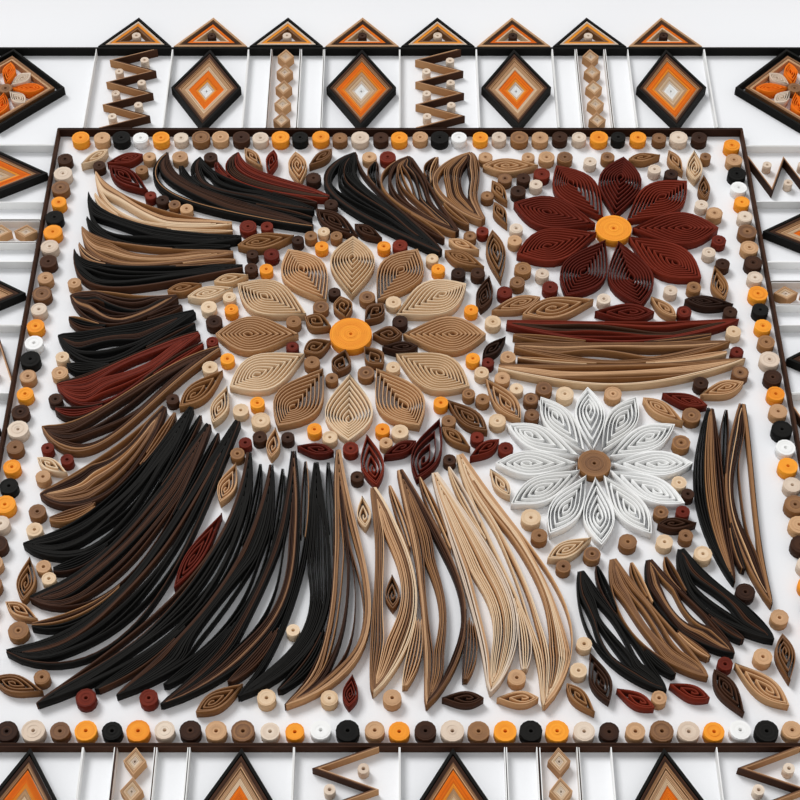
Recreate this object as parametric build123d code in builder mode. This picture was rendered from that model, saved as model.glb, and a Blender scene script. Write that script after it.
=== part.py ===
from build123d import *
import os
from math import cos, hypot, radians, sin, sqrt

os.makedirs("parts", exist_ok=True)

# Framed quilled paper art, lying on its back with the art facing up.
# Origin at the middle of the back face, +Z out of the art, +Y towards its top edge. Millimetres.

# The wooden tray frame
sight_size = 598
rail_width = 20
rail_depth = 35
rebate_width = 6.5
rebate_depth = 18
front_chamfer = 1.5
side_count = 4

# The boards in the rebate
board_fit = 0.7
art_board_thickness = 2.5
backing_thickness = 3

# The bendable points that hold the boards
point_length = 16
point_width = 8
point_thickness = 0.8
point_bite = 5
point_slot_fit = 0.05
point_places_share = (-0.3, 0.3)

# The holes that the frame hangs from
hanging_hole_radius = 3.5
hanging_hole_depth = 12
hanging_hole_spacing = 320

# The quilled paper, strips stood on edge and glued to the board
paper_margin = 42
strip_height = 5
paper_gap = 0.4
outline_wall = 1.2
inner_wall = 2.4

# The border band: teeth, patterned panels and a row of tight coils around a square field
tooth_height = 24
line_wall = 1.2
panel_height = 62
panel_gap = 3.5
panels_per_side = 8
ladder_width = 15
ladder_diamond = 9
ladder_steps = 5
zigzag_width = 22
zigzag_wall = 1.0
zigzag_folds = 7
bead_radius = 4.5
bead_margin = 1.5
bead_sides = 8

# The coils of the flowers
large_centre_radius = 9.5
inner_petal_length = 13.2
inner_petal_width = 8.8
rust_centre_radius = 8.5
white_centre_radius = 7
centre_sides = 20
small_bead_radius = 3.2
large_petals = 12
inner_petals = 7
rust_petals = 9
white_petals = 12

# Sizes that follow from those above, from the frame inwards
frame_outer = sight_size + 2 * rail_width
rebate_size = sight_size + 2 * rebate_width
board_size = rebate_size - 2 * board_fit
board_top = rebate_depth
backing_top = board_top - art_board_thickness
point_top = backing_top - backing_thickness
paper_level = Plane.XY.offset(board_top)
tooth_base = sight_size / 2 - paper_margin - tooth_height
outer_line_at = tooth_base - paper_gap - line_wall / 2
inner_line_at = outer_line_at - panel_height
half_field = inner_line_at - 2 * (bead_radius + bead_margin)
bead_row_at = (half_field + inner_line_at) / 2
panel_middle = (inner_line_at + outer_line_at) / 2
panel_room = panel_height - line_wall
panel_length = panel_room - 2 * paper_gap
panel_pitch = 2 * half_field / panels_per_side
lozenge_width = panel_pitch - panel_gap


def finish(part, name):
    """Name a finished piece and write it."""
    part.label = name
    export_step(part, f"parts/{name}.step")


# The four mitred rails, each an L section with the rebate at its back


def side_plane(turn, height=0):
    """A level plane whose X points out of the frame on the side at this angle."""
    outward = Vector(cos(radians(turn)), sin(radians(turn)))
    return Plane((0, 0, height), x_dir=outward, z_dir=(0, 0, 1))


def make_rail(name, turn, hanging_holes):
    side = side_plane(turn)
    section = Plane((0, 0, 0), x_dir=side.x_dir, z_dir=-side.y_dir)
    outer = frame_outer / 2
    inner = sight_size / 2
    with BuildPart() as rail:
        with BuildSketch(section):
            with BuildLine():
                Polyline(
                    (outer, 0),
                    (outer, rail_depth - front_chamfer),
                    (outer - front_chamfer, rail_depth),
                    (inner + front_chamfer, rail_depth),
                    (inner, rail_depth - front_chamfer),
                    (inner, rebate_depth),
                    (inner + rebate_width, rebate_depth),
                    (inner + rebate_width, 0),
                    close=True,
                )
            make_face()
        extrude(amount=outer, both=True)
        for mitre in (side.y_dir - side.x_dir, -side.y_dir - side.x_dir):
            split(bisect_by=Plane((0, 0, 0), z_dir=mitre), keep=Keep.BOTTOM)
        slot_plane = side_plane(turn, point_top + point_slot_fit)
        with BuildSketch(slot_plane):
            for share in point_places_share:
                with Locations((rebate_size / 2 + point_bite / 2, share * sight_size)):
                    Rectangle(point_bite + 2 * point_slot_fit, point_width + 2 * point_slot_fit)
        extrude(amount=-point_thickness - 2 * point_slot_fit, mode=Mode.SUBTRACT)
        if hanging_holes:
            wood_middle = (rebate_size + frame_outer) / 4
            with BuildSketch(side):
                with Locations((wood_middle, 0)):
                    with GridLocations(0, hanging_hole_spacing, 1, 2):
                        Circle(hanging_hole_radius)
            extrude(amount=hanging_hole_depth, mode=Mode.SUBTRACT)
    finish(rail.part, name)


make_rail("rail_right", 0, False)
make_rail("rail_top", 90, True)
make_rail("rail_left", 180, False)
make_rail("rail_bottom", 270, False)

# The white board that carries the paper, and the hardboard behind it

with BuildPart() as art_board:
    with BuildSketch(paper_level):
        Rectangle(board_size, board_size)
    extrude(amount=-art_board_thickness)
finish(art_board.part, "art_board")

with BuildPart() as backing_board:
    with BuildSketch(Plane.XY.offset(backing_top)):
        Rectangle(board_size, board_size)
    extrude(amount=-backing_thickness)
finish(backing_board.part, "backing_board")

# Flat steel points, their tips in slots of the rails and their tails under the backing

with BuildPart() as framing_points:
    with BuildSketch(Plane.XY.offset(point_top)):
        with PolarLocations(rebate_size / 2, side_count):
            for share in point_places_share:
                with Locations((0, share * sight_size)):
                    Polygon(
                        (point_bite, 0),
                        (0, point_width / 2),
                        (point_bite - point_length, point_width / 2),
                        (point_bite - point_length, -point_width / 2),
                        (0, -point_width / 2),
                        align=None,
                    )
    extrude(amount=-point_thickness)
finish(framing_points.part, "framing_points")

# The border band. Each side is laid out with X pointing out of the middle and Y along the side.


def side_spots(distance, alongs):
    """The same row of places on each of the four sides."""
    rows = PolarLocations(distance, side_count).local_locations
    return [row * Location((0, along)) for row in rows for along in alongs]


def lozenge(height, width, grow=0):
    """A lozenge grown or shrunk by the same amount at right angles to each edge."""
    half_height = height / 2
    half_width = width / 2
    slope = hypot(half_height, half_width)
    tall = half_height + grow * slope / half_width
    wide = half_width + grow * slope / half_height
    return [(tall, 0), (0, wide), (-tall, 0), (0, -wide)]


def tooth(height, width, grow=0):
    """A triangle with its base at the line and its point outwards, grown or shrunk evenly."""
    slope = hypot(height, width / 2)
    base = -grow
    point = height + grow * slope / (width / 2)
    wide = width / 2 + grow * (slope + width / 2) / height
    return [(base, wide), (point, 0), (base, -wide)]


def outline(spots, shape, height, width, wall, shrink=0):
    """Rings of strip that follow a lozenge or a tooth, at each spot."""
    with Locations(*spots):
        Polygon(*shape(height, width, -shrink), align=None)
        Polygon(*shape(height, width, -shrink - wall), align=None, mode=Mode.SUBTRACT)


panel_centres = [panel_pitch * (k - (panels_per_side - 1) / 2) for k in range(panels_per_side)]
lozenge_panels = panel_centres[0::2]
ladder_panels = panel_centres[1::4]
zigzag_panels = panel_centres[3::4]

# Long straight lines that bound the band, four strips a ring

for line_name, line_at in (("inner_lines", inner_line_at), ("outer_lines", outer_line_at)):
    with BuildPart() as lines:
        with BuildSketch(paper_level):
            with Locations(*side_spots(line_at, [0])):
                Rectangle(line_wall, 2 * line_at - line_wall - 2 * paper_gap)
        extrude(amount=strip_height)
    finish(lines.part, line_name)

# Stepped lozenges: an outline with smaller and smaller lozenges inside it

lozenge_spots = side_spots(panel_middle, lozenge_panels)
step = 0
for step_name, wall in (
    ("black_lozenges", outline_wall),
    ("dark_brown_lozenges", inner_wall),
):
    with BuildPart() as lozenges:
        with BuildSketch(paper_level):
            outline(lozenge_spots, lozenge, panel_length, lozenge_width, wall, step)
        extrude(amount=strip_height)
    finish(lozenges.part, step_name)
    step += wall + paper_gap

with BuildPart() as lozenge_cores:
    with BuildSketch(paper_level):
        with Locations(*lozenge_spots):
            Polygon(*lozenge(panel_length, lozenge_width, -step), align=None)
    extrude(amount=strip_height)
finish(lozenge_cores.part, "orange_lozenge_cores")

# Ladders: small folded diamonds stacked between two straight strips

ladder_pitch = panel_room / ladder_steps
with BuildPart() as ladder_diamonds:
    with BuildSketch(paper_level):
        for step_count in range(ladder_steps):
            out = (step_count - (ladder_steps - 1) / 2) * ladder_pitch
            with Locations(*side_spots(panel_middle + out, ladder_panels)):
                Polygon(*lozenge(ladder_pitch - paper_gap, ladder_diamond), align=None)
    extrude(amount=strip_height)
finish(ladder_diamonds.part, "ladder_diamonds")

with BuildPart() as ladder_sides:
    with BuildSketch(paper_level):
        for side in (-1, 1):
            alongs = [along + side * ladder_width / 2 for along in ladder_panels]
            with Locations(*side_spots(panel_middle, alongs)):
                Rectangle(panel_length, outline_wall)
    extrude(amount=strip_height)
finish(ladder_sides.part, "ladder_sides")

# Zigzags: one strip folded to and fro across its panel

fold_pitch = panel_length / zigzag_folds
fold_shift = zigzag_wall / 2 * hypot(fold_pitch, zigzag_width) / fold_pitch
fold_points = [
    (fold * fold_pitch - panel_length / 2, zigzag_width / 2 * (-1) ** fold)
    for fold in range(zigzag_folds + 1)
]
near_side = [(out, along - fold_shift) for out, along in fold_points]
far_side = [(out, along + fold_shift) for out, along in fold_points]
with BuildPart() as zigzags:
    with BuildSketch(paper_level):
        with Locations(*side_spots(panel_middle, zigzag_panels)):
            Polygon(*near_side, *reversed(far_side), align=None)
    extrude(amount=strip_height)
finish(zigzags.part, "zigzags")

# Teeth that stand outside the band

for tooth_name, first in (("tan_teeth", 0), ("black_teeth", 1)):
    with BuildPart() as teeth:
        with BuildSketch(paper_level):
            spots = side_spots(tooth_base, panel_centres[first::2])
            outline(spots, tooth, tooth_height, panel_pitch - paper_gap, outline_wall)
        extrude(amount=strip_height)
    finish(teeth.part, tooth_name)

# Corner blocks: a square on its point between the ends of the bands

corner_spots = [Location((x * panel_middle, y * panel_middle)) for x in (-1, 1) for y in (-1, 1)]
step = 0
for corner_name, wall in (("corner_outlines", outline_wall), ("corner_inlays", inner_wall)):
    with BuildPart() as corners:
        with BuildSketch(paper_level):
            outline(corner_spots, lozenge, panel_room, panel_room, wall, step)
        extrude(amount=strip_height)
    finish(corners.part, corner_name)
    step += wall + inner_wall

# Tight coils in a row along the field's edge, one for each panel

bead_colours = ("cream", "amber", "brown", "black")
for number, colour in enumerate(bead_colours):
    with BuildPart() as beads:
        with BuildSketch(paper_level):
            with Locations(*side_spots(bead_row_at, panel_centres[number::4])):
                RegularPolygon(bead_radius, bead_sides)
        extrude(amount=strip_height)
    finish(beads.part, f"{colour}_beads")

# Swept leaves. Each sheaf fans out from a narrow root between two curves, and its leaves share
# the room between them. Every leaf is a bundle of strips, glued at both ends and splayed between.

# Root x, root y, root width, left tip x and y, right tip x and y, in shares of half the field
sheaf_shares = {
    "right": (0.29, 0.18, 0.25, 0.97, 0.31, 0.97, 0.09),
    "right_low": (0.90, -0.03, 0.17, 0.975, -0.70, 0.82, -0.63),
    "lower_right": (0.59, -0.54, 0.36, 0.97, -0.76, 0.62, -0.97),
    "bottom": (0.04, -0.25, 0.34, 0.42, -0.97, -0.15, -0.97),
    "lower_left": (-0.285, -0.20, 0.30, -0.20, -0.97, -0.95, -0.965),
    "left": (-0.54, -0.06, 0.28, -0.97, -0.90, -0.975, -0.26),
    "far_left": (-0.57, 0.27, 0.32, -0.975, -0.20, -0.97, 0.46),
    "upper_left": (-0.47, 0.57, 0.24, -0.97, 0.49, -0.94, 0.97),
    "top_left": (-0.24, 0.71, 0.20, -0.78, 0.97, -0.45, 0.97),
    "top": (0.185, 0.61, 0.28, -0.23, 0.97, 0.31, 0.97),
}

# The way each sheaf points at its root and at its tips, in degrees
sheaf_angles = {
    "right": (-10, 15),
    "right_low": (-100, -75),
    "lower_right": (-80, -40),
    "bottom": (-72, -112),
    "lower_left": (-88, -150),
    "left": (-110, -190),
    "far_left": (-150, 140),
    "upper_left": (-175, 95),
    "top_left": (160, 70),
    "top": (135, 50),
}

# The leaves of each sheaf from its left curve to its right
sheaf_colours = {
    "right": ("rust", "brown", "tan"),
    "right_low": ("brown", "dark_brown"),
    "lower_right": ("black", "dark_brown", "brown", "black"),
    "bottom": ("tan", "beige", "brown", "tan"),
    "lower_left": ("brown", "black", "dark_brown", "black", "black"),
    "left": ("black", "dark_brown", "black", "brown"),
    "far_left": ("dark_brown", "rust", "black", "dark_brown"),
    "upper_left": ("black", "brown", "black", "tan"),
    "top_left": ("dark_brown", "black", "rust"),
    "top": ("black", "dark_brown", "brown"),
}

# The sheaves that make up each corner or side of the field
leaf_groups = {
    "right": ("right", "right_low"),
    "lower_right": ("lower_right",),
    "bottom": ("bottom",),
    "lower_left": ("lower_left",),
    "left": ("left", "far_left"),
    "top": ("upper_left", "top_left", "top"),
}

# How far each sheaf's curves run on from root and tip, as shares of their length
root_pull_share = 0.42
tip_pull_share = 0.36
# A leaf's width along its length, as shares of its room, from root to tip
leaf_end_share = 0.07
leaf_fill_share = 0.95
leaf_root_share = 0.03
# Every second leaf starts further out and stops short
leaf_late_share = 0.04
leaf_short_share = 0.05
# The gaps between a leaf's strips, across the leaf and along it
slit_places_share = (-0.36, 0.36)
slit_width_share = 0.15
slit_start_share = 0.14
slit_end_share = 0.86
leaf_stations_share = (0, 0.14, 0.32, 0.5, 0.68, 0.86, 1)
slit_stations_share = (0, 0.3, 0.7, 1)


def sheaf_curves(name):
    """The left and right curves that bound a sheaf, from root to tip."""
    root_x, root_y, width, *tips = (half_field * share for share in sheaf_shares[name])
    root_way, tip_way = (
        Vector(cos(radians(angle)), sin(radians(angle))) for angle in sheaf_angles[name]
    )
    across = root_way.rotate(Axis.Z, 90)
    curves = []
    for tip, side in (((tips[0], tips[1]), 1), ((tips[2], tips[3]), -1)):
        root = Vector(root_x, root_y) + across * side * width / 2
        end = Vector(*tip)
        length = (end - root).length
        curves.append(
            Bezier(
                root,
                root + root_way * length * root_pull_share,
                end - tip_way * length * tip_pull_share,
                end,
                mode=Mode.PRIVATE,
            )
        )
    return curves


def leaf_width(along_share):
    """Half a leaf's width as a share of half its room, at a share of its length."""
    if along_share == 1:
        return leaf_end_share
    swell = sqrt(sin(radians(180 * (leaf_root_share + (1 - leaf_root_share) * along_share))))
    return leaf_end_share + (leaf_fill_share - leaf_end_share) * swell


def leaf_point(curves, count, index, along_share, across_share):
    """A point of one leaf, by its shares along the leaf and across it."""
    start = leaf_late_share * (index % 2)
    end = 1 - leaf_short_share * (index % 2)
    left, right = (curve @ (start + (end - start) * along_share) for curve in curves)
    place = (index + 0.5 + 0.5 * across_share * leaf_width(along_share)) / count
    return left + (right - left) * place


def make_leaf(curves, count, index):
    """One leaf's outline with its slits, in the sketch that is open."""
    edges = [
        [leaf_point(curves, count, index, at, side) for at in leaf_stations_share]
        for side in (-1, 1)
    ]
    with BuildLine() as rim:
        Polyline(*edges[0], *reversed(edges[1]), close=True)
    make_face(rim.edges())
    for place in slit_places_share:
        sides = []
        for side in (-1, 1):
            points = []
            for at in slit_stations_share:
                along = slit_start_share + (slit_end_share - slit_start_share) * at
                across = place + side * slit_width_share * sin(radians(180 * at))
                points.append(leaf_point(curves, count, index, along, across))
            sides.append(points)
        with BuildLine() as slit:
            Polyline(*sides[0], *reversed(sides[1][1:-1]), close=True)
        make_face(slit.edges(), mode=Mode.SUBTRACT)


for group, sheaves in leaf_groups.items():
    colours = sorted({colour for sheaf in sheaves for colour in sheaf_colours[sheaf]})
    for colour in colours:
        with BuildPart() as leaves:
            with BuildSketch(paper_level):
                for sheaf in sheaves:
                    curves = sheaf_curves(sheaf)
                    count = len(sheaf_colours[sheaf])
                    for index, leaf_colour in enumerate(sheaf_colours[sheaf]):
                        if leaf_colour == colour:
                            make_leaf(curves, count, index)
            extrude(amount=strip_height)
        finish(leaves.part, f"{group}_{colour}_leaves")

# Flowers: petals around a tight coil. Each petal is a closed coil pinched at both ends.

# Where each flower's middle lies, in shares of half the field
large_middle_share = (-0.14, 0.22)
rust_middle_share = (0.64, 0.64)
white_middle_share = (0.52, -0.24)
# How far each ring of petals reaches and how wide its petals are, in the same shares
large_ring_share = (0.384, 0.132)
rust_ring_share = (0.314, 0.132)
white_ring_share = (0.264, 0.082)
# A petal's stations along its length, and how far its widest place leans towards its tip
petal_stations_share = (0.1, 0.4, 0.7, 0.94)
petal_lean_share = 0.7
# How far out the small coils between the petals stand, as a share of the ring's reach
small_bead_place_share = 0.93


def flower_spots(middle_share, out, count, turn_share=0):
    """Places around a flower's middle, turned by a share of the angle between them."""
    middle = Location(tuple(half_field * share for share in middle_share))
    start = turn_share * 360 / count
    return [middle * spot for spot in PolarLocations(out, count, start).local_locations]


def petal(inner, outer, width):
    """A pinched coil that points along X, between two distances from the flower's middle."""
    rim = [(inner, 0)]
    other = []
    for at in petal_stations_share:
        out = inner + (outer - inner) * at
        lean = petal_lean_share + (1 - petal_lean_share) * at
        half = width / 2 * sin(radians(180 * at * lean))
        rim.append((out, half))
        other.append((out, -half))
    return rim + [(outer, 0)] + list(reversed(other))


def make_petals(name, middle_share, inner, ring, count, first=0, step=1):
    """A ring of petals, or every second one of it, as one group of separate coils."""
    outer, width = ring
    with BuildPart() as petals:
        with BuildSketch(paper_level):
            with Locations(*flower_spots(middle_share, 0, count)[first::step]):
                Polygon(*petal(inner, outer, width), align=None)
        extrude(amount=strip_height)
    finish(petals.part, name)


def make_coils(name, spots, radius, sides):
    """Tight coils, at each spot."""
    with BuildPart() as coils:
        with BuildSketch(paper_level):
            with Locations(*spots):
                RegularPolygon(radius, sides)
        extrude(amount=strip_height)
    finish(coils.part, name)


def make_small_beads(name, middle_share, ring_share, count):
    """A small coil in each gap between the tips of two petals."""
    out = half_field * ring_share[0] * small_bead_place_share
    spots = flower_spots(middle_share, out, count, 0.5)
    make_coils(name, spots, small_bead_radius, bead_sides)


def ring_size(ring_share):
    """How far a ring of petals reaches and how wide its petals are."""
    return [half_field * share for share in ring_share]


# The coil in the middle of each flower
for flower, middle_share, radius in (
    ("large", large_middle_share, large_centre_radius),
    ("rust", rust_middle_share, rust_centre_radius),
    ("white", white_middle_share, white_centre_radius),
):
    make_coils(f"{flower}_flower_centre", flower_spots(middle_share, 0, 1), radius, centre_sides)

# The ring of petals of the two smaller flowers
for flower, middle_share, radius, ring_share, count in (
    ("rust", rust_middle_share, rust_centre_radius, rust_ring_share, rust_petals),
    ("white", white_middle_share, white_centre_radius, white_ring_share, white_petals),
):
    ring = ring_size(ring_share)
    make_petals(f"{flower}_flower_petals", middle_share, radius + paper_gap, ring, count)

# The large flower's inner ring, and its outer ring in two tones by turns
start = large_centre_radius + paper_gap
ring = (start + inner_petal_length, inner_petal_width)
make_petals("large_flower_inner_petals", large_middle_share, start, ring, inner_petals)
start += inner_petal_length + paper_gap
ring = ring_size(large_ring_share)
for first, tone in enumerate(("tan", "beige")):
    name = f"large_flower_{tone}_petals"
    make_petals(name, large_middle_share, start, ring, large_petals, first, 2)

make_small_beads("large_flower_beads", large_middle_share, large_ring_share, large_petals)
make_small_beads("rust_flower_beads", rust_middle_share, rust_ring_share, rust_petals)

# Single pinched coils that fill the room left between the sheaves and the flowers

# Middle x and y, length and width of each, in shares of half the field
accent_shares = {
    "rust": (
        (-0.519, -0.519, 0.253, 0.044),
        (-0.12, -0.93, 0.089, 0.038),
        (-0.854, 0.943, 0.114, 0.044),
        (0.785, -0.019, 0.127, 0.041),
    ),
    "dark_brown": ((0.487, -0.892, 0.139, 0.051), (0.892, 0.342, 0.139, 0.044)),
    "tan": (
        (-0.316, 0.905, 0.139, 0.057),
        (0.335, 0.335, 0.152, 0.051),
        (0.88, -0.911, 0.165, 0.057),
    ),
    "brown": ((0.285, 0.532, 0.203, 0.057), (0.184, -0.076, 0.152, 0.057)),
}

# The way each of them points, in degrees
accent_angles = {
    "rust": (-115, -95, 20, -20),
    "dark_brown": (-75, 172),
    "tan": (98, 20, -45),
    "brown": (95, -45),
}

for colour, shares in accent_shares.items():
    with BuildPart() as accents:
        with BuildSketch(paper_level):
            for (x, y, length, width), angle in zip(shares, accent_angles[colour]):
                coil = petal(-half_field * length / 2, half_field * length / 2, half_field * width)
                with Locations(Location((half_field * x, half_field * y), angle)):
                    Polygon(*coil, align=None)
        extrude(amount=strip_height)
    finish(accents.part, f"{colour}_accent_coils")
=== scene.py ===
from functools import partial
from math import ceil, cos, hypot, pi, radians, sin
from random import Random

import bmesh
import bpy
from mathutils import Matrix, Vector
from mathutils.kdtree import KDTree


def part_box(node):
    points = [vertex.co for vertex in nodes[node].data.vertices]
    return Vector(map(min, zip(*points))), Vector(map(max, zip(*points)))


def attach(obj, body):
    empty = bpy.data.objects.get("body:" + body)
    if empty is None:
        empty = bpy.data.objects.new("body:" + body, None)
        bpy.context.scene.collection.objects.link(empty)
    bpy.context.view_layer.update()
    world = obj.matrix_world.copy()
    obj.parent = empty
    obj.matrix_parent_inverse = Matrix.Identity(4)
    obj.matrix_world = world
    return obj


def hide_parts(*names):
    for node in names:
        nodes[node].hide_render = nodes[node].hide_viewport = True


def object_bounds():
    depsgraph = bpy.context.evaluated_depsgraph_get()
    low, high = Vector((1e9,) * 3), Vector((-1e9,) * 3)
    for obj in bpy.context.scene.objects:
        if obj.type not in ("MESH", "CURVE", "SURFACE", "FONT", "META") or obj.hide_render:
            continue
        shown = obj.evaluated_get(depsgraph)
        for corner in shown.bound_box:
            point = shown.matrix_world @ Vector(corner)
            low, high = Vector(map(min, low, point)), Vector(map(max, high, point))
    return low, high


# Framed quilled paper art that lies on its back. Metres, with +Z out of the art and +Y to its top.
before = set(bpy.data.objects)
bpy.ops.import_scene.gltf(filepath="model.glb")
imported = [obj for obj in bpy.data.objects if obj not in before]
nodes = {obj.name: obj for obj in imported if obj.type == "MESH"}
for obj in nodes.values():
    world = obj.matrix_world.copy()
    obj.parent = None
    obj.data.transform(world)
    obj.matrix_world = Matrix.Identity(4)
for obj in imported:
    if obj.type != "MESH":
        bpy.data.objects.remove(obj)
cad_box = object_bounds()
scene = bpy.context.scene


# The tray frame is four rails of oak, mitred and glued, with a rebate at the back. They are sanded
# along the grain and given a satin walnut stain.

stain_light = (0.37, 0.215, 0.12, 1)
stain_dark = (0.18, 0.096, 0.05, 1)
pore_dark = (0.085, 0.045, 0.026, 1)
stain_roughness = 0.42
streak_range = (0.42, 0.72, 0, 0.45)
pore_range = (0.62, 0.72, 0, 0.6)

# Where the Mix node has its sockets for colours, which share their names with others
mix_inputs = (0, 6, 7)
mix_result = 2


def start_material(name):
    """A new material with its node tree and its shader."""
    material = bpy.data.materials.new(name)
    material.use_nodes = True
    tree = material.node_tree
    return material, tree, tree.nodes["Principled BSDF"]


def start_group(name, inputs, outputs):
    """A new shader node group with named sockets, and the nodes at its two ends."""
    group = bpy.data.node_groups.new(name, "ShaderNodeTree")
    for socket_name, kind, value in inputs:
        socket = group.interface.new_socket(socket_name, in_out="INPUT", socket_type=f"NodeSocket{kind}")
        socket.default_value = value
    for socket_name, kind in outputs:
        group.interface.new_socket(socket_name, in_out="OUTPUT", socket_type=f"NodeSocket{kind}")
    return group, group.nodes.new("NodeGroupInput"), group.nodes.new("NodeGroupOutput")


def set_inputs(node, values):
    """Give plain values to a node's inputs by their names."""
    for socket_name, value in values.items():
        node.inputs[socket_name].default_value = value


def place_group(tree, group, values):
    """A node group set in a material with that material's own values."""
    node = tree.nodes.new("ShaderNodeGroup")
    node.node_tree = group
    set_inputs(node, values)
    return node


def feed(tree, socket, value):
    """Link a socket to another one, or give it a plain value."""
    if isinstance(value, bpy.types.NodeSocket):
        tree.links.new(value, socket)
    else:
        socket.default_value = value


def coat(tree, shader, colour, roughness):
    """Give a shader its colour and its roughness, linked or plain."""
    feed(tree, shader.inputs["Base Color"], colour)
    feed(tree, shader.inputs["Roughness"], roughness)


def add_noise(tree, vector, scale, detail, roughness=0.5):
    """A noise texture read from a vector."""
    noise = tree.nodes.new("ShaderNodeTexNoise")
    set_inputs(noise, {"Scale": scale, "Detail": detail, "Roughness": roughness})
    tree.links.new(vector, noise.inputs["Vector"])
    return noise.outputs["Fac"]


def add_range(tree, value, low, high, new_low=0.0, new_high=1.0):
    """A value stretched from one range to another, and held inside it."""
    stretch = tree.nodes.new("ShaderNodeMapRange")
    set_inputs(stretch, {"From Min": low, "From Max": high, "To Min": new_low, "To Max": new_high})
    tree.links.new(value, stretch.inputs["Value"])
    return stretch.outputs["Result"]


def add_mix(tree, share, first, second):
    """Two colours mixed by a share."""
    mix = tree.nodes.new("ShaderNodeMix")
    mix.data_type = "RGBA"
    for number, value in zip(mix_inputs, (share, first, second)):
        feed(tree, mix.inputs[number], value)
    return mix.outputs[mix_result]


def add_math(tree, operation, first, second):
    """One operation done on two values."""
    node = tree.nodes.new("ShaderNodeMath")
    node.operation = operation
    feed(tree, node.inputs[0], first)
    feed(tree, node.inputs[1], second)
    return node.outputs[0]


def add_bump(tree, height, strength, distance, shader):
    """A bump from a height, linked to a shader."""
    bump = tree.nodes.new("ShaderNodeBump")
    set_inputs(bump, {"Strength": strength, "Distance": distance})
    tree.links.new(height, bump.inputs["Height"])
    tree.links.new(bump.outputs["Normal"], shader.inputs["Normal"])


# Oak has broad growth bands, fine streaks and short dark pores, all drawn out along the rail
oak_grain, grain_in, grain_out = start_group(
    "oak grain",
    [("Along", "Vector", (0, 0, 0))],
    [("Colour", "Color"), ("Height", "Float")],
)
along = grain_in.outputs["Along"]
bands = add_noise(oak_grain, along, scale=55, detail=3, roughness=0.55)
streaks = add_noise(oak_grain, along, scale=420, detail=4, roughness=0.6)
pores = add_noise(oak_grain, along, scale=900, detail=2)
banded = add_mix(oak_grain, add_range(oak_grain, bands, low=0.35, high=0.68), stain_light, stain_dark)
streaked = add_mix(oak_grain, add_range(oak_grain, streaks, *streak_range), banded, stain_dark)
pore_mask = add_range(oak_grain, pores, *pore_range)
pored = add_mix(oak_grain, pore_mask, streaked, pore_dark)
oak_grain.links.new(pored, grain_out.inputs["Colour"])
oak_grain.links.new(add_math(oak_grain, "SUBTRACT", streaks, pore_mask), grain_out.inputs["Height"])

# The grain is squeezed along each rail and moved, so that no two rails show the same
grain_squeeze = 0.045
grain_shift = 0.37
level = (grain_squeeze, 1, 1)
upright = (1, grain_squeeze, 1)
rails = {"rail_top": level, "rail_bottom": level, "rail_left": upright, "rail_right": upright}
for rail_name, squeeze in rails.items():
    oak, oak_tree, oak_shader = start_material(f"stained oak of {rail_name}")
    place = oak_tree.nodes.new("ShaderNodeTexCoord")
    mapping = oak_tree.nodes.new("ShaderNodeMapping")
    shift = [grain_shift * len(rail_name) * way for way in (1, -1, 2)]
    set_inputs(mapping, {"Scale": squeeze, "Location": shift})
    oak_tree.links.new(place.outputs["Object"], mapping.inputs["Vector"])
    grain = place_group(oak_tree, oak_grain, {})
    oak_tree.links.new(mapping.outputs["Vector"], grain.inputs["Along"])
    coat(oak_tree, oak_shader, grain.outputs["Colour"], stain_roughness)
    add_bump(oak_tree, grain.outputs["Height"], strength=0.35, distance=0.0003, shader=oak_shader)
    nodes[rail_name].material_slots[0].material = oak


# The art board is a heavy white mat board with a faint tooth. It drops into the rebate from behind,
# and all the paper is glued to its front.

board_white = (0.86, 0.868, 0.885, 1)
board_shade = (0.8, 0.81, 0.835, 1)
board_roughness = 0.85
board_gloss = 0.25
cloud_range = (0.3, 0.8, 0, 0.5)

mat_board, board_tree, board_shader = start_material("white mat board")
board_place = board_tree.nodes.new("ShaderNodeTexCoord").outputs["Object"]
board_tooth = add_noise(board_tree, board_place, scale=1400, detail=3, roughness=0.6)
cloud = add_noise(board_tree, board_place, scale=9, detail=2)
cloudy = add_range(board_tree, cloud, *cloud_range)
board_colour = add_mix(board_tree, cloudy, board_white, board_shade)
coat(board_tree, board_shader, board_colour, board_roughness)
board_shader.inputs["Specular IOR Level"].default_value = board_gloss
add_bump(board_tree, board_tooth, strength=0.25, distance=0.0002, shader=board_shader)
nodes["art_board"].material_slots[0].material = mat_board


# The backing is hardboard against the back of the art board, with its rough meshed face outwards.

hardboard_brown = (0.19, 0.095, 0.045, 1)
hardboard_fleck = (0.36, 0.2, 0.1, 1)
hardboard_roughness = 0.8
mesh_scale = 600
mesh_unevenness = 0.15

hardboard, hard_tree, hard_shader = start_material("hardboard")
hard_place = hard_tree.nodes.new("ShaderNodeTexCoord").outputs["Object"]
fibres = add_noise(hard_tree, hard_place, scale=350, detail=5, roughness=0.7)
fleck_mask = add_range(hard_tree, fibres, low=0.45, high=0.7)
hard_colour = add_mix(hard_tree, fleck_mask, hardboard_brown, hardboard_fleck)
coat(hard_tree, hard_shader, hard_colour, hardboard_roughness)
mesh_print = hard_tree.nodes.new("ShaderNodeTexVoronoi")
set_inputs(mesh_print, {"Scale": mesh_scale, "Randomness": mesh_unevenness})
hard_tree.links.new(hard_place, mesh_print.inputs["Vector"])
add_bump(hard_tree, mesh_print.outputs["Distance"], strength=0.6, distance=0.0006, shader=hard_shader)
nodes["backing_board"].material_slots[0].material = hardboard


# Eight bendable framing points of zinc-plated steel, shot into the rails flat against the
# hardboard. They alone hold both boards in.

zinc_bright = (0.6, 0.61, 0.62, 1)
zinc_dull = (0.42, 0.43, 0.45, 1)
spangle_roughness = (0.3, 0.75, 0.28, 0.5)

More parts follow.
